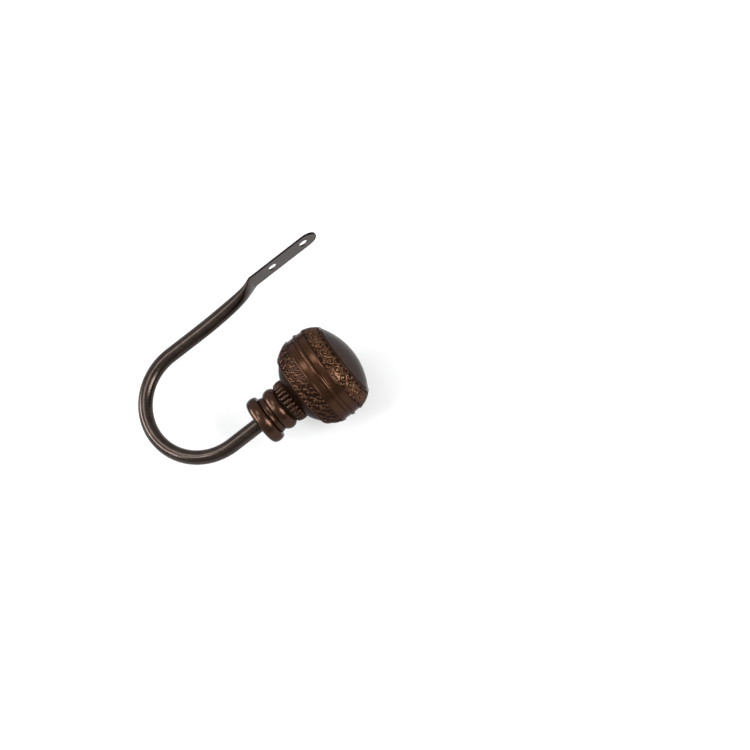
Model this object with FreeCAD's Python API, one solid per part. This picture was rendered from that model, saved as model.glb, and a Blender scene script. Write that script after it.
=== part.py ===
"""Curtain holdback: a bent steel tube whose end is pressed flat into a two-hole tongue, with a
cast ball finial screwed onto its other end.  Millimetres.

Frame: the two screw holes lie along X with their midpoint at the origin, on the face that goes
against the wall, which is the plane Y = 0.  The room is towards -Y and Z is up.  The arm leaves
the tongue towards -X, turns through half a circle and comes back under the finial, whose dome
points to +X.
"""
import FreeCAD, Part
import math
import os

V = FreeCAD.Vector

# Tongue and its screw holes
hole_pitch = 25.4
hole_dia = 6.5
tip_beyond_hole = 10.0
crease_behind_hole = 15.6
trim_depth = 0.45
trim_past_crease = 2.6
trim_corner_radius = 1.0

# Tube of the arm
tube_od = 10.0
tube_wall = 0.7
pinch_length = 50.0
crease_share = 0.6
crease_power = 8.0
ease_power = 2.0
crease_softness = 0.03
flat_thickness = 1.3
flat_spread = 1.1
wall_standoff = 1.3
round_face_half_angle = 40.0
bend_radius = 38.6
bend_centre_x = -101.3

# Joint between the tube and the finial
finial_rear_x = -79.3
socket_depth = 12.0
socket_clearance = 0.1
seat_clearance = 0.05
stud_dia = 6.0
stud_length = 34.0
stud_chamfer = 0.8
insert_length = 14.0
insert_chamfer = 0.4
thread_clearance = 0.05
stud_end_room = 1.0

# Finial, measured along its axis from the rear face and outwards from the axis
rear_face_radius = 12.4
rear_corner_at = 0.42
rear_corner_out = 14.1
end_ring_from = 1.2
end_ring_at = 4.9
end_ring_to = 8.5
end_ring_core = 10.0
end_ring_radius = 6.6
fillet_to = 11.1
fillet_top = 13.3
fillet_foot = 12.8
mid_ring_at = 16.7
mid_ring_half = 4.35
mid_ring_top = 14.9
mid_ring_foot = 12.8
bead_count = 26
bead_at = 25.6
bead_half_length = 4.1
bead_radius = 1.9
bead_pitch_radius = 13.2
bead_crown = 15.5
bead_shoulder = 2.6
bead_shoulder_out = 14.3
bead_core_radius = 13.4
cap_radius = 34.9
rear_cap_pole = 25.1
rear_belt_start = 34.4
rear_belt_end = 46.6
rear_belt_centre = 56.1
belt_curve = 33.4
front_belt_centre = 49.0
front_belt_start = 59.0
front_belt_end = 69.9
belt_rim = 0.8
belt_ground_depth = 0.5
band_radius = 31.35
band_cove = 0.15
centre_bead_at = 53.1
centre_bead_half = 1.45
centre_bead_top = 32.25
dome_radius = 45.9
dome_pole = 77.4

# Sizes that follow from the ones above
round_radius = tube_od / 2
flat_half = flat_thickness / 2
flat_half_width = flat_half + (round_radius - flat_half) * math.pi / 2 + flat_spread
tongue_half_width = flat_half_width - trim_depth
inner_hole_x = -hole_pitch / 2
outer_hole_x = hole_pitch / 2
tip_x = outer_hole_x + tip_beyond_hole
crease_x = inner_hole_x - crease_behind_hole
round_x = crease_x - pinch_length
leg_y = -(wall_standoff + round_radius)
bend_centre_y = leg_y - bend_radius
knob_y = leg_y - 2 * bend_radius
tube_end_x = finial_rear_x + socket_depth - seat_clearance
tube_bore_radius = round_radius - tube_wall
FINIAL_AXIS = V(1, 0, 0)


def finial_point(along, out):
    """A point of the finial's outline, in the plane Z = 0 on the wall side of its axis."""
    return V(finial_rear_x + along, knob_y + out, 0)


def line(a, b):
    return Part.LineSegment(a, b).toShape()


def arc(a, mid, b):
    return Part.Arc(a, mid, b).toShape()


def pinch_state(t):
    """Half thickness and mid-plane Y of the tube at t, from 0 at the crease to 1 where it is round.

    The room side climbs steeply out of the crease and then eases into the round tube, and the wall
    side only moves back by the stand-off.  A soft start rounds the crease.
    """
    def softened(value):
        return value - crease_softness * (1 - math.exp(-value / crease_softness))
    s = softened(t) / softened(1.0)
    flat_room_y = -2 * flat_half
    round_room_y = -(wall_standoff + tube_od)
    left = crease_share * (1 - s) ** crease_power + (1 - crease_share) * (1 - s) ** ease_power
    room_y = round_room_y + (flat_room_y - round_room_y) * left
    wall_y = -wall_standoff * t * t * (3 - 2 * t)
    return (wall_y - room_y) / 2, (wall_y + room_y) / 2


def oval_wire(x, half, mid_y, shrink):
    """Tube section in the plane X = x: two face edges and two fold arcs, tangent to each other.

    The fold arcs and the face arcs share their tangents, and their lengths add up to the girth of
    the round tube, so the section widens in Z as it is pressed thinner, and by flat_spread more
    where the press squeezes it flat.  There the faces are straight lines and the folds half
    circles.  shrink moves the section inwards by a wall.
    """
    still_round = (half - flat_half) / (round_radius - flat_half)
    face_angle = math.radians(round_face_half_angle) * still_round
    quarter_girth = math.pi / 2 * round_radius + flat_spread * (1 - still_round) ** 2
    b = half - shrink
    if still_round < 1e-6:
        reach = flat_half_width - half
        corner = [V(x, mid_y + b, -reach), V(x, mid_y + b, reach),
                  V(x, mid_y - b, reach), V(x, mid_y - b, -reach)]
        edges = [line(corner[0], corner[1]),
                 arc(corner[1], V(x, mid_y, reach + b), corner[2]),
                 line(corner[2], corner[3]),
                 arc(corner[3], V(x, mid_y, -reach - b), corner[0])]
        return Part.Wire(edges)
    fold_angle = math.pi / 2 - face_angle
    span = math.sin(fold_angle) + math.cos(fold_angle) - 1
    blend = (face_angle - math.pi / 2 * math.cos(fold_angle)) / span
    half_width = (quarter_girth + blend * half) / (math.pi / 2 + blend)
    spread = (half_width - half) / span
    fold_centre = spread * math.cos(fold_angle)
    fold_radius = half_width - fold_centre - shrink
    z = fold_centre + fold_radius * math.cos(fold_angle)
    y = fold_radius * math.sin(fold_angle)
    corner = [V(x, mid_y + y, -z), V(x, mid_y + y, z), V(x, mid_y - y, z), V(x, mid_y - y, -z)]
    tip = fold_centre + fold_radius
    edges = [arc(corner[0], V(x, mid_y + b, 0), corner[1]),
             arc(corner[1], V(x, mid_y, tip), corner[2]),
             arc(corner[2], V(x, mid_y - b, 0), corner[3]),
             arc(corner[3], V(x, mid_y, -tip), corner[0])]
    return Part.Wire(edges)


def pinch_solid(shrink, stations=8):
    """The stretch where the round tube is pressed flat, or its bore when shrink is the wall."""
    wires = []
    for i in range(stations + 1):
        t = (i / stations) ** 1.6
        half, mid_y = pinch_state(t)
        if half - shrink < 0.15:
            continue
        wires.append(oval_wire(crease_x - t * pinch_length, half, mid_y, shrink))
    return Part.makeLoft(wires, True, False)


def round_run(radius):
    """Both straight legs and the half-circle bend, as one solid rod of the given radius."""
    leg = Part.makeCylinder(radius, round_x - bend_centre_x, V(bend_centre_x, leg_y, 0), V(1, 0, 0))
    section = Part.Face(Part.Wire(Part.makeCircle(radius, V(bend_centre_x, leg_y, 0), V(1, 0, 0))))
    bend = section.revolve(V(bend_centre_x, bend_centre_y, 0), V(0, 0, 1), 180)
    knob_leg = Part.makeCylinder(radius, tube_end_x - bend_centre_x,
                                 V(bend_centre_x, knob_y, 0), V(1, 0, 0))
    return leg.fuse([bend, knob_leg])


def tongue_blank():
    """The flat two-wall stretch from the crease to beyond the tip, before it is trimmed."""
    section = Part.Face(oval_wire(crease_x, flat_half, -flat_half, 0))
    return section.extrude(V(tip_x - crease_x, 0, 0))


def trimmed_away():
    """What the press cuts off the flat stretch: a strip along each fold and the tip's corners."""
    deep = 4 * tube_od
    keep_from = crease_x - trim_past_crease
    end_x = tip_x - tongue_half_width
    blank = Part.makeBox(tip_x - keep_from + deep, deep, deep, V(keep_from, -deep / 2, -deep / 2))
    kept = Part.makeBox(end_x - keep_from, deep, 2 * tongue_half_width,
                        V(keep_from, -deep / 2, -tongue_half_width))
    nose = Part.makeCylinder(tongue_half_width, deep, V(end_x, -deep / 2, 0), V(0, 1, 0))
    waste = blank.cut(kept.fuse(nose))
    corners = [e for e in waste.Edges if is_inner_corner(e, keep_from)]
    return waste.makeFillet(trim_corner_radius, corners)


def is_inner_corner(edge, x):
    ends = [v.Point for v in edge.Vertexes]
    return len(ends) == 2 and all(abs(p.x - x) < 1e-6 and
                                  abs(abs(p.z) - tongue_half_width) < 1e-6 for p in ends)


def make_arm():
    """Bent hollow tube with its pressed and trimmed tongue and two screw holes."""
    skin = pinch_solid(0).fuse([round_run(round_radius), tongue_blank()])
    bore = pinch_solid(tube_wall).fuse(round_run(tube_bore_radius))
    arm = skin.cut(bore).cut(trimmed_away())
    for x in (inner_hole_x, outer_hole_x):
        arm = arm.cut(Part.makeCylinder(hole_dia / 2, 4 * tube_wall,
                                        V(x, tube_wall, 0), V(0, -1, 0)))
    return arm.removeSplitter()


def make_insert():
    """Turned plug pressed into the tube's end, drilled for the stud and chamfered where it enters."""
    body_radius = tube_bore_radius - thread_clearance
    body = Part.makeCylinder(body_radius, insert_length,
                             V(tube_end_x - insert_length, knob_y, 0), V(1, 0, 0))
    hole = Part.makeCylinder(stud_dia / 2 + thread_clearance, insert_length + 2,
                             V(tube_end_x - insert_length - 1, knob_y, 0), V(1, 0, 0))
    insert = body.cut(hole)
    rear = [e for e in insert.Edges if abs(e.BoundBox.XMax - (tube_end_x - insert_length)) < 1e-6
            and e.BoundBox.YLength > 2 * body_radius - 0.1]
    return insert.makeChamfer(insert_chamfer, rear)


def make_stud():
    """Plain rod of the stud's outer diameter, chamfered at both ends: half in the insert."""
    start = tube_end_x - insert_length
    stud = Part.makeCylinder(stud_dia / 2, stud_length, V(start, knob_y, 0), V(1, 0, 0))
    rims = [e for e in stud.Edges if e.BoundBox.XLength < 1e-6]
    return stud.makeChamfer(stud_chamfer, rims)


def on_arc(centre, radius, along):
    """Distance from the axis of a round stretch whose centre is on the axis."""
    return math.sqrt(radius ** 2 - (along - centre) ** 2)


def belt_edges(start, end, centre):
    """One ornament belt: a plain rim, a sunk ground and another plain rim, all on one curve."""
    a = start + belt_rim
    b = end - belt_rim
    ground = belt_curve - belt_ground_depth

    def stretch(lo, hi, radius):
        middle = (lo + hi) / 2
        return arc(finial_point(lo, on_arc(centre, radius, lo)),
                   finial_point(middle, on_arc(centre, radius, middle)),
                   finial_point(hi, on_arc(centre, radius, hi)))

    def step(at, inner, outer):
        return line(finial_point(at, on_arc(centre, inner, at)),
                    finial_point(at, on_arc(centre, outer, at)))

    return [stretch(start, a, belt_curve), step(a, belt_curve, ground), stretch(a, b, ground),
            step(b, ground, belt_curve), stretch(b, end, belt_curve)]


def finial_outline():
    """The turned outline from the rear face to the dome's pole, closed along the axis."""
    ring_from_out = end_ring_core + on_arc(end_ring_at, end_ring_radius, end_ring_from)
    ring_to_out = end_ring_core + on_arc(end_ring_at, end_ring_radius, end_ring_to)
    fillet_mid = (end_ring_to + fillet_to) / 2
    mid_from = mid_ring_at - mid_ring_half
    mid_to = mid_ring_at + mid_ring_half
    cap_centre = rear_cap_pole + cap_radius
    cap_from = cap_centre - math.sqrt(cap_radius ** 2 - bead_core_radius ** 2)
    cap_to_out = on_arc(cap_centre, cap_radius, rear_belt_start)
    cap_mid = (cap_from + rear_belt_start) / 2
    dome_centre = dome_pole - dome_radius
    dome_from_out = on_arc(dome_centre, dome_radius, front_belt_end)
    dome_mid = dome_pole - (dome_pole - front_belt_end) / 4
    bead_from = centre_bead_at - centre_bead_half
    bead_to = centre_bead_at + centre_bead_half
    rear_band_mid = (rear_belt_end + bead_from) / 2
    front_band_mid = (bead_to + front_belt_start) / 2
    p = finial_point
    edges = [line(p(0, 0), p(0, rear_face_radius)),
             arc(p(0, rear_face_radius), p(rear_corner_at, rear_corner_out),
                 p(end_ring_from, ring_from_out)),
             arc(p(end_ring_from, ring_from_out), p(end_ring_at, end_ring_core + end_ring_radius),
                 p(end_ring_to, ring_to_out)),
             line(p(end_ring_to, ring_to_out), p(end_ring_to, fillet_foot)),
             arc(p(end_ring_to, fillet_foot), p(fillet_mid, fillet_top), p(fillet_to, fillet_foot)),
             line(p(fillet_to, fillet_foot), p(mid_from, mid_ring_foot)),
             arc(p(mid_from, mid_ring_foot), p(mid_ring_at, mid_ring_top),
                 p(mid_to, mid_ring_foot)),
             line(p(mid_to, mid_ring_foot), p(mid_to, bead_core_radius)),
             line(p(mid_to, bead_core_radius), p(cap_from, bead_core_radius)),
             arc(p(cap_from, bead_core_radius), p(cap_mid, on_arc(cap_centre, cap_radius, cap_mid)),
                 p(rear_belt_start, cap_to_out)),
             line(p(rear_belt_start, cap_to_out),
                  p(rear_belt_start, on_arc(rear_belt_centre, belt_curve, rear_belt_start)))]
    edges += belt_edges(rear_belt_start, rear_belt_end, rear_belt_centre)
    edges += [line(p(rear_belt_end, on_arc(rear_belt_centre, belt_curve, rear_belt_end)),
                   p(rear_belt_end, band_radius)),
              arc(p(rear_belt_end, band_radius), p(rear_band_mid, band_radius - band_cove),
                  p(bead_from, band_radius)),
              arc(p(bead_from, band_radius), p(centre_bead_at, centre_bead_top),
                  p(bead_to, band_radius)),
              arc(p(bead_to, band_radius), p(front_band_mid, band_radius - band_cove),
                  p(front_belt_start, band_radius)),
              line(p(front_belt_start, band_radius),
                   p(front_belt_start, on_arc(front_belt_centre, belt_curve, front_belt_start)))]
    edges += belt_edges(front_belt_start, front_belt_end, front_belt_centre)
    edges += [line(p(front_belt_end, on_arc(front_belt_centre, belt_curve, front_belt_end)),
                   p(front_belt_end, dome_from_out)),
              arc(p(front_belt_end, dome_from_out), p(dome_mid, on_arc(dome_centre, dome_radius,
                                                                       dome_mid)),
                  p(dome_pole, 0)),
              line(p(dome_pole, 0), p(0, 0))]
    return Part.Wire(edges)


def bead_ring():
    """Rounded beads side by side round the neck: rods along the axis, kept inside a turned crown."""
    foot = bead_pitch_radius - bead_radius / 2
    outline = [finial_point(bead_at - bead_half_length, foot),
               finial_point(bead_at - bead_shoulder, bead_shoulder_out),
               finial_point(bead_at, bead_crown),
               finial_point(bead_at + bead_shoulder, bead_shoulder_out),
               finial_point(bead_at + bead_half_length, foot)]
    crown = Part.Face(Part.makePolygon(outline + outline[:1]))
    crown = crown.revolve(V(0, knob_y, 0), FINIAL_AXIS, 360)
    rods = []
    for i in range(bead_count):
        turn = 2 * math.pi * i / bead_count
        start = V(outline[0].x, knob_y + bead_pitch_radius * math.cos(turn),
                  bead_pitch_radius * math.sin(turn))
        rods.append(Part.makeCylinder(bead_radius, 2 * bead_half_length, start, FINIAL_AXIS))
    return rods[0].fuse(rods[1:]).common(crown)


def make_finial():
    """One casting: neck rings, beaded ring, ball with two ornament belts, and dome."""
    turned = Part.Face(finial_outline()).revolve(V(0, knob_y, 0), FINIAL_AXIS, 360)
    finial = turned.fuse(bead_ring())
    rear = finial.BoundBox.XMin - 1
    socket = Part.makeCylinder(round_radius + socket_clearance, finial_rear_x + socket_depth - rear,
                               V(rear, knob_y, 0), V(1, 0, 0))
    stud_end = tube_end_x - insert_length + stud_length
    hole = Part.makeCylinder(stud_dia / 2 + thread_clearance, stud_end + stud_end_room - rear,
                             V(rear, knob_y, 0), V(1, 0, 0))
    return finial.cut([socket, hole])


PIECES = {"arm": make_arm, "threaded_insert": make_insert, "stud": make_stud, "finial": make_finial}


def main():
    os.makedirs("parts", exist_ok=True)
    for name, make in PIECES.items():
        shape = make()
        solids = shape.Solids
        box = shape.BoundBox
        print(name, "solids", len(solids), "valid", shape.isValid(), "volume", round(shape.Volume, 1),
              "x", round(box.XMin, 2), round(box.XMax, 2), "y", round(box.YMin, 2),
              round(box.YMax, 2), "z", round(box.ZMin, 2), round(box.ZMax, 2))
        if len(solids) == 1:
            shape = solids[0]
        shape.exportStep("parts/" + name + ".step")


main()
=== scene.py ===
"""Curtain holdback in oil-rubbed bronze: a bent tube whose end is pressed flat into a two-hole
tongue, and a cast ball finial on its other end.  Metres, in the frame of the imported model: the
wall face is Y = 0, the room is towards -Y, tongue tip and dome point to +X and Z is up.
Shapes are worked out in millimetres and turned into metres when a mesh is made.
"""

import math

import bmesh
import bpy
import numpy as np
from mathutils import Matrix, Quaternion, Vector


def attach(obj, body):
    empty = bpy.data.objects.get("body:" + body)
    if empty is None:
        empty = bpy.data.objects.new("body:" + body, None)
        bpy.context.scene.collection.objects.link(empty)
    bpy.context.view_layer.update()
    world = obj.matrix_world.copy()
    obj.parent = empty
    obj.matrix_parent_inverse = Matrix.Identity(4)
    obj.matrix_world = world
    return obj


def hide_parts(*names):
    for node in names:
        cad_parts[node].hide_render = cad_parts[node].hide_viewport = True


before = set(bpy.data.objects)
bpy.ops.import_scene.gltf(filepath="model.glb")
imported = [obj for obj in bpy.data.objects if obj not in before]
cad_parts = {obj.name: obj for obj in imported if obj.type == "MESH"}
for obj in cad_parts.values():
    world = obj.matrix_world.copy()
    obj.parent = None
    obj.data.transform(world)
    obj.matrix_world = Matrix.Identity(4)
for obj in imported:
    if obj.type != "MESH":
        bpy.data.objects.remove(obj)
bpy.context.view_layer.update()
MM = 0.001
TURN = 2 * math.pi

# ---------------------------------------------------------------- sizes, as the part has them
HOLE_PITCH = 25.4
HOLE_RADIUS = 3.25
TIP_X = 22.7
CREASE_X = -28.3
PINCH_LENGTH = 50.0
ROUND_X = CREASE_X - PINCH_LENGTH
TUBE_RADIUS = 5.0
TUBE_WALL = 0.7
STANDOFF = 1.3
FLAT_HALF = 0.65
FLAT_SPREAD = 1.1
ROUND_FACE_ANGLE = math.radians(40)
FULL_HALF_WIDTH = FLAT_HALF + (TUBE_RADIUS - FLAT_HALF) * math.pi / 2 + FLAT_SPREAD
TRIMMED_HALF_WIDTH = FULL_HALF_WIDTH - 0.45
TRIM_FROM_X = CREASE_X - 2.6
TRIM_CORNER = 1.0
CUT_GROOVE = 0.1
STATION_POWER = 1.7
NOSE_X = TIP_X - TRIMMED_HALF_WIDTH
LEG_Y = -(STANDOFF + TUBE_RADIUS)
BEND_RADIUS = 38.6
BEND_X = -101.3
BEND_Y = LEG_Y - BEND_RADIUS
KNOB_Y = LEG_Y - 2 * BEND_RADIUS
FINIAL_X = -79.3
SOCKET_DEPTH = 12.0
SOCKET_RADIUS = 5.1
CLEARANCE = 0.05
TUBE_END_X = FINIAL_X + SOCKET_DEPTH - CLEARANCE

# The finial, in distances along its axis from its end face and in radii from the axis.
STUD_HOLE_RADIUS = 3.05
STUD_HOLE_END = 32.95
END_FACE_RADIUS = 12.4
RING_PLACE, RING_OFFSET, RING_RADIUS = 4.9, 10.0, 6.6
RING_START, RING_END = 1.2, 8.5
COLLAR_RADIUS = 12.8
FILLET_END = 11.1
MIDDLE_RING_START, MIDDLE_RING_END = 12.35, 21.05
BEAD_COUNT = 26
BEAD_PLACE, BEAD_OFFSET = 25.4, 13.3
BEAD_HALF_LENGTH, BEAD_RADIUS = 3.9, 1.68
BEADS_END = 30.2
CAP_START = 30.4
CAP_CENTRE, CAP_RADIUS = 60.0, 34.9
BELT_RADIUS = 33.4
REAR_START, REAR_END, REAR_CENTRE, REAR_REPEATS = 34.4, 46.6, 56.1, 26
FRONT_START, FRONT_END, FRONT_CENTRE, FRONT_REPEATS = 59.0, 69.9, 49.0, 13
BAND_RADIUS = 31.35
DOME_CENTRE, DOME_RADIUS = 31.5, 45.9
DOME_START, DOME_MIDDLE, DOME_END = 70.2, 75.6, 77.4

# How high each part of the casting stands, which also sets its colour from 0 in a recess to 1 on a
# crest:
# partly the rubbed finish's own colour, partly painted shade in the hollows and painted highlight
# on the crests.
PLAIN_RELIEF = 0.5
RIM_RELIEF = 0.45
# The rear cap is painted darker than its height gives: painted shade round the neck.
CAP_SHADE_RELIEF = 0.25

# Edges sharper than these angles, in degrees, are kept sharp.
ARM_SHARP = 32
FINIAL_SHARP = 38
PLAIN_SHARP = 30

# The studio.
FLOOR_Z = -32.35
RISE_FROM = 7000.0
RISE = 600.0
LAMP_DISTANCE = 0.9
CAMERA_DISTANCE = 5.0


# ---------------------------------------------------------------- meshes from whole arrays
def grid_faces(rows, columns, first=0):
    """Quads of a grid whose columns close on themselves: each joins a row to the next row."""
    r, c = np.meshgrid(np.arange(rows - 1), np.arange(columns), indexing="ij")
    after = (c + 1) % columns
    quads = np.stack([r * columns + c, r * columns + after, (r + 1) * columns + after,
                      (r + 1) * columns + c], axis=-1)
    return (quads.reshape(-1, 4) + first).tolist()


def mesh_object(name, points, faces, sharp_degrees, attributes=()):
    """A mesh object from points in millimetres, smooth except across edges sharper than given."""
    mesh = bpy.data.meshes.new(name)
    mesh.from_pydata((points * MM).tolist(), [], faces)
    for key, values in attributes:
        layer = mesh.attributes.new(key, "FLOAT", "POINT")
        layer.data.foreach_set("value", np.asarray(values, dtype=np.float32))
    tidy = bmesh.new()
    tidy.from_mesh(mesh)
    bmesh.ops.remove_doubles(tidy, verts=tidy.verts, dist=1e-7)
    bmesh.ops.dissolve_degenerate(tidy, edges=tidy.edges, dist=1e-7)
    tidy.to_mesh(mesh)
    tidy.free()
    mesh.shade_smooth()
    mesh.set_sharp_from_angle(angle=math.radians(sharp_degrees))
    obj = bpy.data.objects.new(name, mesh)
    bpy.context.scene.collection.objects.link(obj)
    return obj


# ---------------------------------------------------------------- arm
def pinch_state(t):
    """Half thickness and mid-plane Y at t, 0 at the crease and 1 where the tube is round.

    The room side leaves the crease as 0.6 of an eighth power plus 0.4 of a square of what is left
    of the way, after a soft start, and the wall side moves back by the stand-off in an S-curve.
    """
    start = 0.03

    def softened(value):
        return value - start * (1 - np.exp(-value / start))

    s = softened(t) / softened(1.0)
    left = 0.6 * (1 - s) ** 8 + 0.4 * (1 - s) ** 2
    round_y = -(STANDOFF + 2 * TUBE_RADIUS)
    room_y = round_y + (-2 * FLAT_HALF - round_y) * left
    wall_y = -STANDOFF * t * t * (3 - 2 * t)
    return (wall_y - room_y) / 2, (wall_y + room_y) / 2


def oval_quarter(half, shrink, per_face=11, per_fold=13):
    """A quarter of the tube's section for each station, from the face's middle to the fold's tip.

    A face arc and a fold arc share their tangent, and the girth stays that of the round tube, so
    the section widens as it is pressed thinner: it is a circle at one end of the pinch and two
    straight faces with half-round folds at the other.  Gives outward and sideways distances.
    """
    half = half[:, None]
    still_round = (half - FLAT_HALF) / (TUBE_RADIUS - FLAT_HALF)
    face = np.maximum(ROUND_FACE_ANGLE * still_round, 1e-4)
    quarter_girth = math.pi / 2 * TUBE_RADIUS + FLAT_SPREAD * (1 - still_round) ** 2
    fold = math.pi / 2 - face
    span = np.sin(fold) + np.cos(fold) - 1
    blend = (face - math.pi / 2 * np.cos(fold)) / span
    half_width = (quarter_girth + blend * half) / (math.pi / 2 + blend)
    fold_centre = (half_width - half) / span * np.cos(fold)
    fold_radius = half_width - fold_centre - shrink
    corner_side = fold_centre + fold_radius * np.cos(fold)
    a = face * np.linspace(0, 1, per_face + 1)[None, :-1]
    b = fold * np.linspace(1, 0, per_fold + 1)[None, :]
    face_out = half - shrink - corner_side * (1 - np.cos(a)) / np.sin(face)
    face_side = corner_side * np.sin(a) / np.sin(face)
    out = np.hstack([face_out, fold_radius * np.sin(b)])
    side = np.hstack([face_side, fold_centre + fold_radius * np.cos(b)])
    return out, side


def whole_ring(out, side):
    """The closed section ring from its quarter, mirrored in both directions."""
    ring_out = np.hstack([out, -out[:, -2::-1], -out[:, 1:], out[:, -2:0:-1]])
    ring_side = np.hstack([side, side[:, -2::-1], -side[:, 1:], -side[:, -2:0:-1]])
    return ring_out, ring_side


def kept_half_width(x):
    """Half width the press leaves at X: a filleted step in, straight sides and a round nose."""
    into = np.clip((x - TRIM_FROM_X) / TRIM_CORNER, 0, 1)
    step = TRIMMED_HALF_WIDTH + TRIM_CORNER * (1 - np.sqrt(1 - (1 - into) ** 2))
    beyond = np.clip((x - NOSE_X) / TRIMMED_HALF_WIDTH, 0, 1)
    return np.where(x > NOSE_X, TRIMMED_HALF_WIDTH * np.sqrt(1 - beyond ** 2), step)


def pressed_rings():
    """Rings from the round end of the pinch to the tongue's tip, and which points are cut edges.

    Each ring is the oval section at its X, cut to the kept half width, and drawn in to a point
    over the nose.  Where the cut goes through the folds the two pressed walls show as a groove.
    Stations stand closer together towards the crease, by a power of the way to it.
    """
    swing = np.linspace(0, 1, 25)[1:] * math.pi / 2
    x = np.sort(np.concatenate([
        CREASE_X - np.linspace(1, 0, 61) ** STATION_POWER * PINCH_LENGTH,
        TRIM_FROM_X + TRIM_CORNER * (1 - np.cos(np.linspace(0.05, 1, 7) * math.pi / 2)),
        np.linspace(CREASE_X, NOSE_X, 30)[1:],
        NOSE_X + TRIMMED_HALF_WIDTH * np.sin(swing)]))
    t = np.clip((CREASE_X - x) / PINCH_LENGTH, 0, 1)
    half, mid = pinch_state(t)
    out, side = oval_quarter(half, 0)
    kept = kept_half_width(x)[:, None]
    cut_open = np.where(side > kept, 1.0, 0.0) * (x > TRIM_FROM_X)[:, None]
    nose = np.minimum(side, TRIMMED_HALF_WIDTH) * kept / TRIMMED_HALF_WIDTH
    side = np.where((x > NOSE_X)[:, None], nose, np.minimum(side, kept))
    side[:, -1] = np.maximum(side[:, -1] - CUT_GROOVE * cut_open[:, -1], 0)
    ring_out, ring_side = whole_ring(out, side)
    ring_cut = np.abs(whole_ring(out, cut_open)[1])
    points = np.stack([np.broadcast_to(x[:, None], ring_out.shape), mid[:, None] + ring_out,
                       ring_side], axis=-1)
    return points, ring_cut


def pressed_bore_rings():
    """Rings of the bore from the round end of the pinch to where its walls meet."""
    t = np.linspace(1, 0, 24) ** STATION_POWER
    half, mid = pinch_state(t)
    least_half = 0.15
    open_here = half - TUBE_WALL > least_half
    t, half, mid = t[open_here], half[open_here], mid[open_here]
    ring_out, ring_side = whole_ring(*oval_quarter(half, TUBE_WALL))
    x = np.broadcast_to(CREASE_X - t[:, None] * PINCH_LENGTH, ring_out.shape)
    return np.stack([x, mid[:, None] + ring_out, ring_side], axis=-1)


def round_rings(shrink, bend_steps, leg_steps):
    """Rings of the knob leg, the half-circle bend and the upper leg, from the tube's end.

    The centre line is straight, then half a circle, then straight.  Over the bend the section is
    drawn slightly oval: thinner across the bend and taller along Z, most near the knob leg.
    """
    thinner, taller = 0.06, 0.025
    ring_out, ring_side = whole_ring(*oval_quarter(np.array([TUBE_RADIUS]), shrink))
    knob_x = np.linspace(TUBE_END_X, BEND_X, leg_steps)[:-1]
    swing = np.linspace(0, math.pi, bend_steps)
    leg_x = np.linspace(BEND_X, ROUND_X, leg_steps)[1:-1]
    centre_x = np.concatenate([knob_x, BEND_X - BEND_RADIUS * np.sin(swing), leg_x])
    centre_y = np.concatenate([np.full_like(knob_x, KNOB_Y), BEND_Y - BEND_RADIUS * np.cos(swing),
                               np.full_like(leg_x, LEG_Y)])
    angle = np.concatenate([0 * knob_x, swing, 0 * leg_x + math.pi])[:, None]
    drawn = np.sin(angle) * (0.6 + 0.4 * np.cos(angle))
    across = (1 - thinner * drawn) * ring_out
    x = centre_x[:, None] - across * np.sin(angle)
    y = centre_y[:, None] - across * np.cos(angle)
    return np.stack([x, y, (1 + taller * drawn) * ring_side], axis=-1)


def arm_surface():
    """One closed skin: bore from where it shuts to the tube's end, then the outside to the tip.

    Gives also 1 for each point on the trimmed edge of the tongue and 0 elsewhere.
    """
    pressed, cut_open = pressed_rings()
    bore = np.concatenate([round_rings(TUBE_WALL, 33, 4), pressed_bore_rings()])[::-1]
    outside = round_rings(0, 97, 9)
    rings = np.concatenate([bore, outside, pressed])
    columns = rings.shape[1]
    cut = np.concatenate([np.zeros(bore.shape[:2]), np.zeros(outside.shape[:2]), cut_open])
    faces = grid_faces(rings.shape[0], columns)
    faces.append(list(range(columns))[::-1])
    return rings.reshape(-1, 3), faces, cut.reshape(-1)


def hole_cutter(x):
    """A screw hole's cutter: a turned profile with a small chamfer at both faces of the tongue."""
    chamfer, beyond, sides = 0.04, 1.0, 96
    foot = -2 * FLAT_HALF
    y = np.array([beyond, 0.0, -chamfer, foot + chamfer, foot, foot - beyond])
    flare = chamfer + beyond
    radius = HOLE_RADIUS + np.array([flare, chamfer, 0, 0, chamfer, flare])
    angle = np.linspace(0, TURN, sides + 1)[:-1]
    points = np.stack([x + radius[:, None] * np.cos(angle),
                       np.broadcast_to(y[:, None], (len(y), sides)),
                       radius[:, None] * np.sin(angle)], axis=-1)
    first, last = list(range(sides)), list(range((len(y) - 1) * sides, len(y) * sides))
    faces = grid_faces(len(y), sides) + [first[::-1], last]
    return mesh_object("cutter", points.reshape(-1, 3), faces, PLAIN_SHARP)


def cut_holes(obj):
    """Cuts both screw holes into the arm and keeps the result as its mesh."""
    cutters = [hole_cutter(side * HOLE_PITCH / 2) for side in (-1, 1)]
    for cutter in cutters:
        cut = obj.modifiers.new("hole", "BOOLEAN")
        cut.operation = "DIFFERENCE"
        cut.solver = "EXACT"
        cut.object = cutter
    made = bpy.data.meshes.new_from_object(obj.evaluated_get(
        bpy.context.evaluated_depsgraph_get()))
    obj.modifiers.clear()
    obj.data = made
    made.name = obj.name
    for cutter in cutters:
        bpy.data.objects.remove(cutter)
    made.shade_smooth()
    made.set_sharp_from_angle(angle=math.radians(ARM_SHARP))


# ---------------------------------------------------------------- finial
def straight(a, b, steps):
    """Points from a to b along a line, b left to the next stretch."""
    s = np.linspace(0, 1, steps + 1)[:-1, None]
    return np.array(a) * (1 - s) + np.array(b) * s


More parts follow.
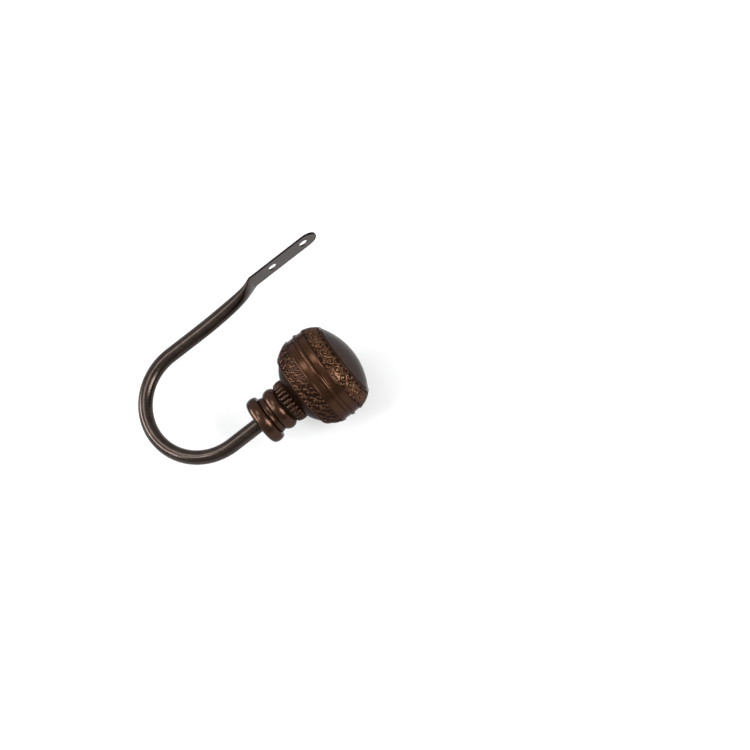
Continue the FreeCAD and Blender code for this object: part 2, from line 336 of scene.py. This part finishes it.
def curved(a, mid, b, steps):
    """Points from a to b along the circle through the three points, b left to the next stretch."""
    pa, pm, pb = (complex(*p) for p in (a, mid, b))
    w = (pb - pa) / (pm - pa)
    centre = pa + (pm - pa) * (w - abs(w) ** 2) / (2j * w.imag)
    turn_mid = np.angle((pm - centre) / (pa - centre))
    turn_end = np.angle((pb - centre) / (pa - centre))
    if turn_mid * turn_end < 0 or abs(turn_mid) > abs(turn_end):
        turn_end -= math.copysign(TURN, turn_end)
    s = np.linspace(0, 1, steps + 1)[:-1]
    p = centre + (pa - centre) * np.exp(1j * turn_end * s)
    return np.stack([p.real, p.imag], axis=-1)


def softened_corners(outline, radius):
    """The outline with each corner sharper than 25 degrees replaced by a small rounding."""
    into = np.diff(outline, axis=0)
    length = np.hypot(into[:, 0], into[:, 1])
    way = into / length[:, None]
    before, after = way[:-1], way[1:]
    turn = np.arccos(np.clip((before * after).sum(axis=1), -1, 1))
    corner = turn > math.radians(25)
    reach = np.minimum(radius * np.tan(turn / 2),
                       0.45 * np.minimum(length[:-1], length[1:]))[:, None]
    at = outline[1:-1]
    a, b = at - reach * before, at + reach * after
    s = np.array([0, 1 / 3, 2 / 3, 1])[None, :, None]
    rounded = (a[:, None] * (1 - s) ** 2 + 2 * at[:, None] * s * (1 - s) + b[:, None] * s ** 2)
    keep = np.zeros(rounded.shape[:2], bool)
    keep[:, 0] = True
    keep[corner] = True
    rounded[~corner, 0] = at[~corner]
    return np.vstack([outline[:1], rounded[keep], outline[-1:]])


def on_circle(centre, radius, along):
    """Distance from the axis of a curve whose centre is on the axis."""
    return math.sqrt(radius ** 2 - (along - centre) ** 2)


def stroke(a, w, line, half_width, height):
    """A rounded ridge along a line: its height falls as a circle does to nothing at its edge."""
    d = np.hypot(a[..., None] - line[:, 0], w[..., None] - line[:, 1]) / half_width
    return height * np.sqrt(np.clip((1 - d * d).max(axis=-1), 0, 1))


def spiral(centre, start_angle, turns, outer, inner, points=70):
    """Points of a spiral that winds evenly inwards from its outer to its inner radius."""
    s = np.linspace(0, 1, points)
    angle = start_angle + TURN * turns * s
    radius = outer + (inner - outer) * s
    return np.stack([centre[0] + radius * np.cos(angle), centre[1] + radius * np.sin(angle)], -1)


def leaf(root, heading, length, bend, points=16):
    """Points of a leaf's midrib: a short curve from its root that turns by the bend."""
    s = np.linspace(0, 1, points)
    angle = heading + bend * s
    step = length / points
    return np.stack([root[0] + np.cumsum(step * np.cos(angle)),
                     root[1] + np.cumsum(step * np.sin(angle))], axis=-1)


def taper(points, thick, thin):
    """Half widths that swell from the root and thin out to the tip."""
    s = np.linspace(0, 1, points)
    return thin + (thick - thin) * np.sin(math.pi * (0.25 + 0.75 * s)) ** 0.8


def front_scroll(a, w, period):
    """Running scroll: two opposed volutes a period on a waving stem, with leaves all round them."""
    height = np.zeros(a.shape)

    def add(line, width, top):
        nonlocal height
        height = np.maximum(height, stroke(a + shift, w, line, width, top))

    for shift in (-period, 0, period):
        wave = np.linspace(-period / 2, period / 2, 90)
        stem = np.stack([wave, 3.9 * np.sin(TURN * wave / period)], axis=-1)
        add(stem, np.full(len(stem), 0.62), 0.6)
        for side in (-1, 1):
            c = (side * period / 4, -0.2 * side)
            curl = spiral((0, 0), -1.9, -1.4, 3.2, 0.95) * (side, side) + c
            add(curl, np.linspace(0.85, 0.6, len(curl)), 0.75)
            add(spiral(c, 0, 1, 0.15, 0.1, 8), np.full(8, 0.9), 0.8)
            for lean, reach in ((-1.1, 2.8), (-0.4, 2.8), (0.35, 3.0), (1.0, 3.2)):
                root = (c[0] + 3.5 * math.sin(lean) * side, c[1] - side * 3.3 * math.cos(lean))
                blade = leaf(root, math.atan2(-side * math.cos(lean * 0.6), side * lean), reach,
                             0.7)
                add(blade, taper(len(blade), 0.85, 0.25), 0.55)
            for lean, reach in ((-1.0, 2.6), (-0.1, 2.6), (0.8, 2.8)):
                root = (c[0] + 3.7 * math.sin(lean), c[1] + side * 3.6 * math.cos(lean))
                blade = leaf(root, math.atan2(side, lean * 1.4 + 0.3), reach, -0.6 * side)
                add(blade, taper(len(blade), 0.85, 0.25), 0.5)
    return height


def rear_leaves(a, w, period):
    """Slanted acanthus: long curling blades side by side, with short blades filling between.

    Each blade is given by its root, heading, length, bend, thickness and height.
    """
    height = np.zeros(a.shape)
    blades = (((-2.6, -6.2), 1.25, 7.0, -1.6, 0.8, 0.7), ((0.4, -6.4), 1.5, 4.4, -1.7, 0.7, 0.6),
              ((-2.8, -0.8), 1.35, 6.2, -1.8, 0.8, 0.7), ((0.5, 0.2), 1.7, 4.6, -1.9, 0.7, 0.62),
              ((2.7, -3.4), 1.3, 3.8, 1.3, 0.62, 0.55), ((-0.8, 3.9), 1.3, 3.0, -1.3, 0.68, 0.58),
              ((2.2, 3.0), 1.6, 3.2, -1.1, 0.64, 0.55))
    for shift in (-period, 0, period):
        for root, heading, length, bend, thick, top in blades:
            blade = leaf(root, heading, length, bend, 24)
            width = taper(len(blade), thick, 0.25)
            height = np.maximum(height, stroke(a + shift, w, blade, width, top))
    return height


def belt_rows(start, end, centre, repeats, pattern, columns, rows, low, top):
    """Ornament belt between two plain rims: the pattern stands up from a sunk ground.

    The ground follows a circle; the pattern's height is added along the ground's normal, fades
    out beside the rims and is worked out over one repeat, then laid round.
    """
    rim, rim_edge, depth, fade = 0.8, 0.1, 0.5, 0.25
    a0, a1 = start + rim, end - rim
    ground = BELT_RADIUS - depth
    angles = np.linspace(math.acos((a0 - centre) / ground), math.acos((a1 - centre) / ground), rows)
    along = centre + ground * np.cos(angles)
    out = ground * np.sin(angles)
    across = ground * (angles[0] - angles)
    across = across - across.mean()
    reach = across.max()
    per_repeat = columns // repeats
    period = TURN * out.mean() / repeats
    a = (np.arange(per_repeat) / per_repeat - 0.5) * period
    grid_w, grid_a = np.meshgrid(across, a, indexing="ij")
    cell = pattern(grid_a, grid_w, period)
    cell = cell * np.clip((reach - np.abs(grid_w)) / fade, 0, 1)
    height = np.tile(cell, (1, repeats))
    rows_u = along[:, None] + height * np.cos(angles)[:, None]
    rows_r = out[:, None] + height * np.sin(angles)[:, None]

    def rim_rows(lo, hi):
        at = np.linspace(lo, hi, 4)
        r = np.sqrt(BELT_RADIUS ** 2 - (at - centre) ** 2)
        edge = np.array([rim_edge, 0, 0, rim_edge])
        shape = (len(at), columns)
        return (np.broadcast_to(at[:, None], shape), np.broadcast_to((r - edge)[:, None], shape))

    u1, r1 = rim_rows(start, a0)
    u2, r2 = rim_rows(a1, end)
    u = np.vstack([u1, rows_u, u2])
    r = np.vstack([r1, rows_r, r2])
    # The ground is painted dark as shade and the crests painted light as highlight, over the
    # finish's own rubbed colour.
    relief = np.vstack([np.full(u1.shape, RIM_RELIEF),
                        low + (top - low) * height / height.max(),
                        np.full(u2.shape, RIM_RELIEF)])
    return u, r, relief


def bead_rows(columns, rows):
    """Ring of long rounded beads: each a rod along the axis that thins to both ends as an ellipse.

    Outside a bead's own circle the surface is the neck's core, and then the rear cap's sphere.
    Painted shade darkens the colour from the beads' crests into the gaps between them.
    """
    cap_from_radius, lean, step = 13.4, 0.25, TURN / BEAD_COUNT
    at = np.linspace(MIDDLE_RING_END, BEADS_END, rows)
    cap = np.sqrt(np.maximum(CAP_RADIUS ** 2 - (CAP_CENTRE - at) ** 2, 0))
    cap_from = CAP_CENTRE - math.sqrt(CAP_RADIUS ** 2 - cap_from_radius ** 2)
    core = np.where(at > cap_from, cap, END_FACE_RADIUS)
    along = np.clip((at - BEAD_PLACE) / BEAD_HALF_LENGTH, -1, 1)
    size = BEAD_RADIUS * (1 - along ** 2) ** 0.5
    pitch = BEAD_OFFSET + lean * along
    turn = np.arange(columns) * TURN / columns
    off = (turn + step / 2) % step - step / 2
    side = pitch[:, None] * np.sin(off)[None, :]
    room = size[:, None] ** 2 - side ** 2
    bead = pitch[:, None] * np.cos(off) + np.sqrt(np.maximum(room, 0))
    r = np.where(room > 0, np.maximum(bead, core[:, None]), core[:, None])
    # Painted shade: darker from the beads' crests into the gaps between them.
    relief = PLAIN_RELIEF * np.clip((r - 13.7) / 1.1, 0, 1)
    # Where the beads meet the rear cap they take the cap's painted shade.
    relief = np.where((at > 29.2)[:, None], CAP_SHADE_RELIEF, relief)
    return np.broadcast_to(at[:, None], r.shape), r, relief


def plain_rows(outline, columns, relief=PLAIN_RELIEF):
    """Rows of a plain turned stretch."""
    shape = (len(outline), columns)
    return (np.broadcast_to(outline[:, :1], shape), np.broadcast_to(outline[:, 1:], shape),
            np.full(shape, relief))


def joined_faces(sizes):
    """Faces of rows laid end to end, with a strip of many-sided faces where the count changes.

    Rows are joined by quads.  Between a coarse and a fine row each coarse edge gets one face that
    takes in all the fine edges beside it.  The first and last rows are closed on a pole.
    """
    starts = np.concatenate([[0], np.cumsum([rows * columns for rows, columns in sizes])])
    faces = []
    for (rows, columns), first in zip(sizes, starts):
        faces += grid_faces(rows, columns, int(first))
    for k in range(len(sizes) - 1):
        n_a, n_b = sizes[k][1], sizes[k + 1][1]
        a_row = starts[k + 1] - n_a + np.arange(n_a)
        b_row = starts[k + 1] + np.arange(n_b)
        n = min(n_a, n_b)
        i = np.arange(n)[:, None]
        many_a, many_b = n_a // n, n_b // n
        a_part = a_row[(i * many_a + np.arange(many_a + 1)) % n_a]
        b_part = b_row[(i * many_b + np.arange(many_b, -1, -1)) % n_b]
        faces += np.hstack([a_part, b_part]).tolist()
    pole = int(starts[-1])
    first_row = np.arange(sizes[0][1])
    last_row = pole - sizes[-1][1] + np.arange(sizes[-1][1])
    faces += np.stack([np.full_like(first_row, pole), np.roll(first_row, -1), first_row],
                      axis=-1).tolist()
    faces += np.stack([last_row, np.roll(last_row, -1), np.full_like(last_row, pole + 1)],
                      axis=-1).tolist()
    return faces


def finial_surface():
    """The casting's outside and its stepped bore, turned about the tube's axis.

    Gives also each point's relief, which sets its colour with painted shade in the hollows and
    painted highlight on the crests besides the finish's own colour, and how neutral its finish is:
    a little on the neck, not at all on the ball and fully on the dome.
    """
    coarse, beads, fine = BEAD_COUNT * 6, BEAD_COUNT * 18, BEAD_COUNT * 24
    neck_corner, fine_corner, inset = 0.3, 0.12, 0.12
    ring_from = RING_OFFSET + on_circle(RING_PLACE, RING_RADIUS, RING_START)
    ring_to = RING_OFFSET + on_circle(RING_PLACE, RING_RADIUS, RING_END)
    neck = softened_corners(np.vstack([
        straight((STUD_HOLE_END, STUD_HOLE_RADIUS), (SOCKET_DEPTH, STUD_HOLE_RADIUS), 2),
        straight((SOCKET_DEPTH, STUD_HOLE_RADIUS), (SOCKET_DEPTH, SOCKET_RADIUS), 1),
        straight((SOCKET_DEPTH, SOCKET_RADIUS), (0, SOCKET_RADIUS), 2),
        straight((0, SOCKET_RADIUS), (0, END_FACE_RADIUS), 5),
        curved((0, END_FACE_RADIUS), (0.42, 14.1), (RING_START, ring_from), 6),
        curved((RING_START, ring_from), (RING_PLACE, RING_OFFSET + RING_RADIUS),
               (RING_END, ring_to), 14),
        straight((RING_END, ring_to), (RING_END, COLLAR_RADIUS), 4),
        curved((RING_END, COLLAR_RADIUS), (9.8, 13.3), (FILLET_END, COLLAR_RADIUS), 8),
        straight((FILLET_END, COLLAR_RADIUS), (MIDDLE_RING_START, COLLAR_RADIUS), 2),
        curved((MIDDLE_RING_START, COLLAR_RADIUS), (16.7, 14.9),
               (MIDDLE_RING_END, COLLAR_RADIUS), 18),
        np.array([[MIDDLE_RING_END, COLLAR_RADIUS]])]), neck_corner)
    cap_angles = np.linspace(math.acos((CAP_CENTRE - CAP_START) / CAP_RADIUS),
                             math.acos((CAP_CENTRE - REAR_START) / CAP_RADIUS), 7)
    cap = np.stack([CAP_CENTRE - CAP_RADIUS * np.cos(cap_angles),
                    CAP_RADIUS * np.sin(cap_angles)], axis=-1)
    band = BAND_RADIUS
    rear_top = on_circle(REAR_CENTRE, BELT_RADIUS, REAR_END) - inset
    front_foot = on_circle(FRONT_CENTRE, BELT_RADIUS, FRONT_START) - inset
    bands = softened_corners(np.vstack([
        straight((REAR_END, rear_top), (46.65, band), 2),
        curved((46.65, band), (49.1, band - 0.15), (51.0, band), 6),
        straight((51.0, band), (51.2, band - 0.3), 1),
        straight((51.2, band - 0.3), (51.65, band - 0.2), 1),
        curved((51.65, band - 0.2), (53.1, 32.25), (54.55, band - 0.2), 12),
        straight((54.55, band - 0.2), (55.0, band - 0.3), 1),
        straight((55.0, band - 0.3), (55.2, band), 1),
        curved((55.2, band), (57.1, band - 0.15), (58.95, band), 6),
        straight((58.95, band), (FRONT_START, front_foot), 2),
        np.array([[FRONT_START, front_foot]])]), fine_corner)
    front_top = on_circle(FRONT_CENTRE, BELT_RADIUS, FRONT_END) - inset
    dome_foot = on_circle(DOME_CENTRE, DOME_RADIUS, DOME_START)
    dome_mid = on_circle(DOME_CENTRE, DOME_RADIUS, DOME_MIDDLE)
    dome = softened_corners(np.vstack([
        straight((FRONT_END, front_top), (69.8, dome_foot - 0.55), 2),
        straight((69.8, dome_foot - 0.55), (DOME_START, dome_foot - 0.5), 1),
        straight((DOME_START, dome_foot - 0.5), (DOME_START, dome_foot), 1),
        curved((DOME_START, dome_foot), (DOME_MIDDLE, dome_mid), (DOME_END, 0.0), 30)]),
        fine_corner)
    blocks = [plain_rows(neck, coarse),
              bead_rows(beads, rows=27),
              # The rear cap gets the painted shade round the neck.
              plain_rows(cap, coarse, CAP_SHADE_RELIEF),
              belt_rows(REAR_START, REAR_END, REAR_CENTRE, REAR_REPEATS, rear_leaves, fine,
                        rows=39, low=0.12, top=0.66),
              plain_rows(bands, coarse),
              belt_rows(FRONT_START, FRONT_END, FRONT_CENTRE, FRONT_REPEATS, front_scroll, fine,
                        rows=36, low=0.20, top=0.92),
              plain_rows(dome, coarse)]
    points, relief = [], []
    for u, r, high in blocks:
        turn = np.arange(u.shape[1]) * TURN / u.shape[1]
        points.append(np.stack([FINIAL_X + u, KNOB_Y + r * np.cos(turn), r * np.sin(turn)],
                               axis=-1).reshape(-1, 3))
        relief.append(high.reshape(-1))
    points.append(np.array([[FINIAL_X + STUD_HOLE_END, KNOB_Y, 0],
                            [FINIAL_X + DOME_END, KNOB_Y, 0]]))
    relief.append(np.full(2, PLAIN_RELIEF))
    faces = joined_faces([u.shape for u, r, high in blocks])
    points = np.vstack(points)
    neutral = np.interp(points[:, 0] - FINIAL_X, [22.0, 34.0, 69.6, FRONT_END], [0.4, 0, 0, 1])
    return points, faces, np.concatenate(relief), neutral


# ---------------------------------------------------------------- materials
def new_material(name):
    """A material with its Principled shader, the node tree and a helper that adds nodes."""
    material = bpy.data.materials.new(name)
    material.use_nodes = True
    tree = material.node_tree
    shader = tree.nodes["Principled BSDF"]

    def add(kind, **values):
        node = tree.nodes.new(kind)
        for key, value in values.items():
            if key in node.inputs:
                node.inputs[key].default_value = value
            else:
                setattr(node, key, value)
        return node
    return material, tree.links, shader, add


def ramp(add, stops):
    """A colour ramp with the given positions and colours.  A new ramp has two stops already."""
    node = add("ShaderNodeValToRGB")
    elements = node.color_ramp.elements
    for k, (at, colour) in enumerate(stops):
        element = elements[k] if k < 2 else elements.new(at)
        element.position = at
        element.color = (*colour, 1)
    return node


def grey(value):
    """The same amount of red, green and blue."""
    return (value, value, value)


def arm_bronze():
    """Dark sprayed bronze with a faint brown mottle; along the cut edges it is duller, with less
    lacquer, and painted shade darkens it in patches.
    """
    material, links, shader, add = new_material("arm_bronze_paint")
    place = add("ShaderNodeTexCoord")
    mottle = add("ShaderNodeTexNoise", Scale=150.0, Detail=5.0, Roughness=0.78)
    links.new(place.outputs["Object"], mottle.inputs["Vector"])
    base = ramp(add, [(0.36, (0.021, 0.013, 0.0095)), (0.66, (0.040, 0.027, 0.0205))])
    links.new(mottle.outputs["Fac"], base.inputs["Fac"])
    cut = add("ShaderNodeAttribute", attribute_name="shaded_cut_edge")
    # Noise that breaks the painted shade on the cut edges into patches.
    edge_shade_noise = add("ShaderNodeTexNoise", Scale=900.0, Detail=3.0)
    links.new(place.outputs["Object"], edge_shade_noise.inputs["Vector"])
    edge_shade_patches = ramp(add, [(0.30, grey(0.35)), (0.50, grey(1))])
    links.new(edge_shade_noise.outputs["Fac"], edge_shade_patches.inputs["Fac"])
    shaded_cut_edge = add("ShaderNodeMath", operation="MULTIPLY")
    links.new(cut.outputs["Fac"], shaded_cut_edge.inputs[0])
    links.new(edge_shade_patches.outputs["Color"], shaded_cut_edge.inputs[1])
    colour = add("ShaderNodeMix", data_type="RGBA")
    links.new(shaded_cut_edge.outputs[0], colour.inputs["Factor"])
    links.new(base.outputs["Color"], colour.inputs["A"])
    # Painted shade on the cut edges: a near-black colour, in noisy patches.
    colour.inputs["B"].default_value = (0.008, 0.0062, 0.0052, 1)
    links.new(colour.outputs["Result"], shader.inputs["Base Color"])
    rough = ramp(add, [(0.3, grey(0.18)), (0.75, grey(0.27))])
    links.new(mottle.outputs["Fac"], rough.inputs["Fac"])
    rougher = add("ShaderNodeMath", operation="MULTIPLY_ADD")
    rougher.inputs[1].default_value = 0.35
    links.new(cut.outputs["Fac"], rougher.inputs[0])
    links.new(rough.outputs["Color"], rougher.inputs[2])
    links.new(rougher.outputs[0], shader.inputs["Roughness"])
    coat = add("ShaderNodeMath", operation="MULTIPLY_ADD")
    lacquer = 0.22
    coat.inputs[1].default_value = -lacquer
    coat.inputs[2].default_value = lacquer
    links.new(cut.outputs["Fac"], coat.inputs[0])
    links.new(coat.outputs[0], shader.inputs["Coat Weight"])
    peel = add("ShaderNodeTexNoise", Scale=1400.0, Detail=2.0)
    links.new(place.outputs["Object"], peel.inputs["Vector"])
    bump = add("ShaderNodeBump", Strength=0.2, Distance=0.0002)
    links.new(peel.outputs["Fac"], bump.inputs["Height"])
    links.new(bump.outputs["Normal"], shader.inputs["Normal"])
    shader.inputs["Metallic"].default_value = 0.9
    shader.inputs["Coat Roughness"].default_value = 0.2
    shader.inputs["Specular Tint"].default_value = (0.78, 0.77, 0.78, 1)
    return material


def finial_bronze():
    """Cast bronze finish: near-black in the recesses, brown on plain bands, gold on the relief.
    The near-black is partly patina and partly painted shade; the gold is partly the rubbed finish
    and partly painted highlight.

    Where the surface is marked as neutral it turns to one plain brown with more lacquer on it.
    """
    material, links, shader, add = new_material("finial_bronze_cast")
    place = add("ShaderNodeTexCoord")
    mottle = add("ShaderNodeTexNoise", Scale=160.0, Detail=6.0, Roughness=0.6)
    links.new(place.outputs["Object"], mottle.inputs["Vector"])
    high = add("ShaderNodeAttribute", attribute_name="relief")
    shaken = add("ShaderNodeMath", operation="MULTIPLY_ADD")
    shaken.inputs[1].default_value = 0.12
    links.new(mottle.outputs["Fac"], shaken.inputs[0])
    less = add("ShaderNodeMath", operation="ADD")
    less.inputs[1].default_value = -0.06
    links.new(high.outputs["Fac"], less.inputs[0])
    links.new(less.outputs[0], shaken.inputs[2])
    # Colour by relief: the near-black ground is painted shade over the dark patina, the gold crests
    # painted highlight over the rubbed bronze.
    base = ramp(add, [(0.0, (0.009, 0.003, 0.0015)), (0.3, (0.024, 0.009, 0.004)),
                      (0.5, (0.041, 0.0158, 0.0062)), (0.8, (0.075, 0.034, 0.016)),
                      (1.0, (0.15, 0.080, 0.038))])
    links.new(shaken.outputs[0], base.inputs["Fac"])
    neutral = add("ShaderNodeAttribute", attribute_name="neutral")
    colour = add("ShaderNodeMix", data_type="RGBA")
    links.new(neutral.outputs["Fac"], colour.inputs["Factor"])
    links.new(base.outputs["Color"], colour.inputs["A"])
    colour.inputs["B"].default_value = (0.029, 0.0150, 0.0088, 1)
    links.new(colour.outputs["Result"], shader.inputs["Base Color"])
    rough = ramp(add, [(0.05, grey(0.42)), (0.45, grey(0.25)), (0.55, grey(0.27))])
    links.new(shaken.outputs[0], rough.inputs["Fac"])
    links.new(rough.outputs["Color"], shader.inputs["Roughness"])
    grain = add("ShaderNodeTexNoise", Scale=1600.0, Detail=2.0)
    links.new(place.outputs["Object"], grain.inputs["Vector"])
    bump = add("ShaderNodeBump", Strength=0.07, Distance=0.0002)
    links.new(grain.outputs["Fac"], bump.inputs["Height"])
    links.new(bump.outputs["Normal"], shader.inputs["Normal"])
    shader.inputs["Metallic"].default_value = 0.86
    lacquer = ramp(add, [(0.15, grey(0.02)), (0.45, grey(0.12))])
    links.new(shaken.outputs[0], lacquer.inputs["Fac"])
    coat = add("ShaderNodeMath", operation="MULTIPLY_ADD")
    coat.inputs[1].default_value = 0.13
    links.new(neutral.outputs["Fac"], coat.inputs[0])
    links.new(lacquer.outputs["Color"], coat.inputs[2])
    links.new(coat.outputs[0], shader.inputs["Coat Weight"])
    shader.inputs["Coat Roughness"].default_value = 0.2
    shader.inputs["Specular Tint"].default_value = (0.38, 0.36, 0.35, 1)
    return material


def zinc_steel():
    """Zinc-plated steel with fine turning lines round the axis and a slightly cloudy finish."""
    material, links, shader, add = new_material("zinc_plated_steel")
    place = add("ShaderNodeTexCoord")
    cloud = add("ShaderNodeTexNoise", Scale=220.0, Detail=4.0)
    links.new(place.outputs["Object"], cloud.inputs["Vector"])
    base = ramp(add, [(0.3, (0.45, 0.46, 0.47)), (0.7, (0.62, 0.63, 0.63))])
    links.new(cloud.outputs["Fac"], base.inputs["Fac"])
    links.new(base.outputs["Color"], shader.inputs["Base Color"])
    rough = ramp(add, [(0.3, grey(0.25)), (0.7, grey(0.42))])
    links.new(cloud.outputs["Fac"], rough.inputs["Fac"])
    links.new(rough.outputs["Color"], shader.inputs["Roughness"])
    lines = add("ShaderNodeTexWave", Scale=900.0, Distortion=0.4)
    links.new(place.outputs["Object"], lines.inputs["Vector"])
    bump = add("ShaderNodeBump", Strength=0.2, Distance=0.0001)
    links.new(lines.outputs["Fac"], bump.inputs["Height"])
    links.new(bump.outputs["Normal"], shader.inputs["Normal"])
    shader.inputs["Metallic"].default_value = 1.0
    return material


def floor_material():
    """Plain pale floor: matt, with white added for what the camera and reflections see of it.

    The added white grows with the distance from the object, measured in tens of metres.
    """
    material, links, shader, add = new_material("pale_floor")
    shader.inputs["Base Color"].default_value = (0.36, 0.36, 0.36, 1)
    shader.inputs["Roughness"].default_value = 0.9
    shader.inputs["Specular IOR Level"].default_value = 0.1
    rays = add("ShaderNodeLightPath")
    seen = add("ShaderNodeMath", operation="MAXIMUM")
    links.new(rays.outputs["Is Camera Ray"], seen.inputs[0])
    links.new(rays.outputs["Is Glossy Ray"], seen.inputs[1])
    also = add("ShaderNodeMath", operation="MAXIMUM")
    links.new(seen.outputs[0], also.inputs[0])
    links.new(rays.outputs["Is Transmission Ray"], also.inputs[1])
    place = add("ShaderNodeTexCoord")
    distance = add("ShaderNodeVectorMath", operation="LENGTH")
    links.new(place.outputs["Object"], distance.inputs[0])
    tenth = add("ShaderNodeMath", operation="MULTIPLY")
    tenth.inputs[1].default_value = 0.1
    links.new(distance.outputs["Value"], tenth.inputs[0])
    far = ramp(add, [(0.04, grey(0.46)), (0.16, grey(0.80)), (0.65, grey(0.80)), (0.7, grey(1.0))])
    links.new(tenth.outputs[0], far.inputs["Fac"])
    white = add("ShaderNodeMath", operation="MULTIPLY")
    links.new(far.outputs["Color"], white.inputs[1])
    links.new(also.outputs[0], white.inputs[0])
    shader.inputs["Emission Color"].default_value = (1, 1, 1, 1)
    links.new(white.outputs[0], shader.inputs["Emission Strength"])
    return material


# ---------------------------------------------------------------- studio
def studio_floor():
    """A round floor that ends far outside every view in a low rise, a quarter of a circle."""
    flat = np.array([300.0, 900.0, 3000.0])
    rise = np.linspace(0, 1, 7) * math.pi / 2
    radius = np.concatenate([flat, RISE_FROM + RISE * np.sin(rise)])
    height = np.concatenate([np.zeros(len(flat)), RISE * (1 - np.cos(rise))])
    rows, sides = len(radius), 64
    turn = np.arange(sides) * TURN / sides
    points = np.stack([radius[:, None] * np.cos(turn), radius[:, None] * np.sin(turn),
                       np.broadcast_to(FLOOR_Z + height[:, None], (rows, sides))], axis=-1)
    faces = [face[::-1] for face in grid_faces(rows, sides)] + [list(range(sides))]
    floor = mesh_object("floor", points.reshape(-1, 3), faces, PLAIN_SHARP)
    floor.data.materials.append(floor_material())


def soft_light(name, direction, across, along, power, roll=0.0):
    """A rectangular lamp in the given direction from the object, facing it, rolled by degrees."""
    lamp = bpy.data.lights.new(name, "AREA")
    lamp.shape = "RECTANGLE"
    lamp.size = across
    lamp.size_y = along
    lamp.energy = power
    lamp.color = (0.97, 0.985, 1.0)
    obj = bpy.data.objects.new(name, lamp)
    aim = Vector((-0.06, -0.05, 0))
    way = Vector(direction).normalized()
    obj.location = aim + way * LAMP_DISTANCE
    obj.rotation_mode = "QUATERNION"
    obj.rotation_quaternion = (-way).to_track_quat("-Z", "Y") @ Quaternion(
        (0, 0, 1), math.radians(roll))
    bpy.context.scene.collection.objects.link(obj)


def set_world():
    """A pale surround, brighter towards the wall, the bend and above than towards the room."""
    world = bpy.data.worlds.new("studio")
    bpy.context.scene.world = world
    world.use_nodes = True
    tree = world.node_tree
    place = tree.nodes.new("ShaderNodeTexCoord")
    lean = tree.nodes.new("ShaderNodeVectorMath")
    lean.operation = "DOT_PRODUCT"
    lean.inputs[1].default_value = (-0.3, 0.72, 0.72)
    fade = tree.nodes.new("ShaderNodeMapRange")
    for key, value in (("From Min", -0.6), ("From Max", 0.8), ("To Min", 0.32), ("To Max", 0.95)):
        fade.inputs[key].default_value = value
    tree.links.new(place.outputs["Generated"], lean.inputs[0])
    tree.links.new(lean.outputs["Value"], fade.inputs["Value"])
    tree.links.new(fade.outputs["Result"], tree.nodes["Background"].inputs["Strength"])
    tree.nodes["Background"].inputs["Color"].default_value = (1, 1, 1, 1)


def place_camera():
    """A long lens above and in front of the tongue, as the photograph was taken.

    The axes are the view's right, up and back directions in the part's frame.  The point that
    the camera aims at has to land on a known pixel, so the camera turns by that much.
    """
    right = Vector((0.78664, -0.53027, -0.31626))
    up = Vector((0.60859, 0.75225, 0.25247))
    back = right.cross(up).normalized()
    up = back.cross(right).normalized()
    right.normalize()
    image = 750
    focal = 7675.0
    pixel_u, pixel_v = 251.345, 361.691
    camera = bpy.data.cameras.new("camera")
    camera.sensor_width = 36.0
    camera.lens = focal * camera.sensor_width / image
    camera.clip_start = 0.1
    camera.clip_end = 50.0
    obj = bpy.data.objects.new("camera", camera)
    aim = Vector((-0.060, -0.045, 0.0))
    seen = Vector(((pixel_u - image / 2) / focal, (image / 2 - pixel_v) / focal, -1)).normalized()
    level = Matrix((right, up, back)).transposed()
    correct = seen.rotation_difference(Vector((0, 0, -1))).to_matrix()
    turned = level @ correct
    obj.matrix_world = Matrix.Translation(aim + back * CAMERA_DISTANCE) @ turned.to_4x4()
    bpy.context.scene.collection.objects.link(obj)
    bpy.context.scene.camera = obj


# ---------------------------------------------------------------- pieces
arm_points, arm_faces, arm_cut = arm_surface()
arm = mesh_object("arm_skin", arm_points, arm_faces, ARM_SHARP, [("shaded_cut_edge", arm_cut)])
cut_holes(arm)
arm.data.materials.clear()
arm.data.materials.append(arm_bronze())
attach(arm, "root")
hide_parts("arm")

finial_points, finial_faces, finial_relief, finial_neutral = finial_surface()
finial = mesh_object("finial_casting", finial_points, finial_faces, FINIAL_SHARP,
                     [("relief", finial_relief), ("neutral", finial_neutral)])
finial.data.materials.append(finial_bronze())
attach(finial, "root")
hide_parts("finial")

steel = zinc_steel()
for node in ("threaded_insert", "stud"):
    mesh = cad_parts[node].data
    mesh.materials.clear()
    mesh.materials.append(steel)

place_camera()
studio_floor()
soft_light("left_box", (-0.752, 0.375, 0.532), 0.20, 0.96, 11.0, roll=-58.0)
soft_light("right_box", (0.51, -0.59, 0.62), 0.36, 0.46, 8.0)
soft_light("top_box", (-0.08, 0.37, 0.92), 0.36, 0.28, 2.0)
soft_light("high_box", (-0.404, 0.02, 0.914), 0.20, 0.20, 1.7)
set_world()
bpy.context.scene.view_settings.view_transform = "Standard"
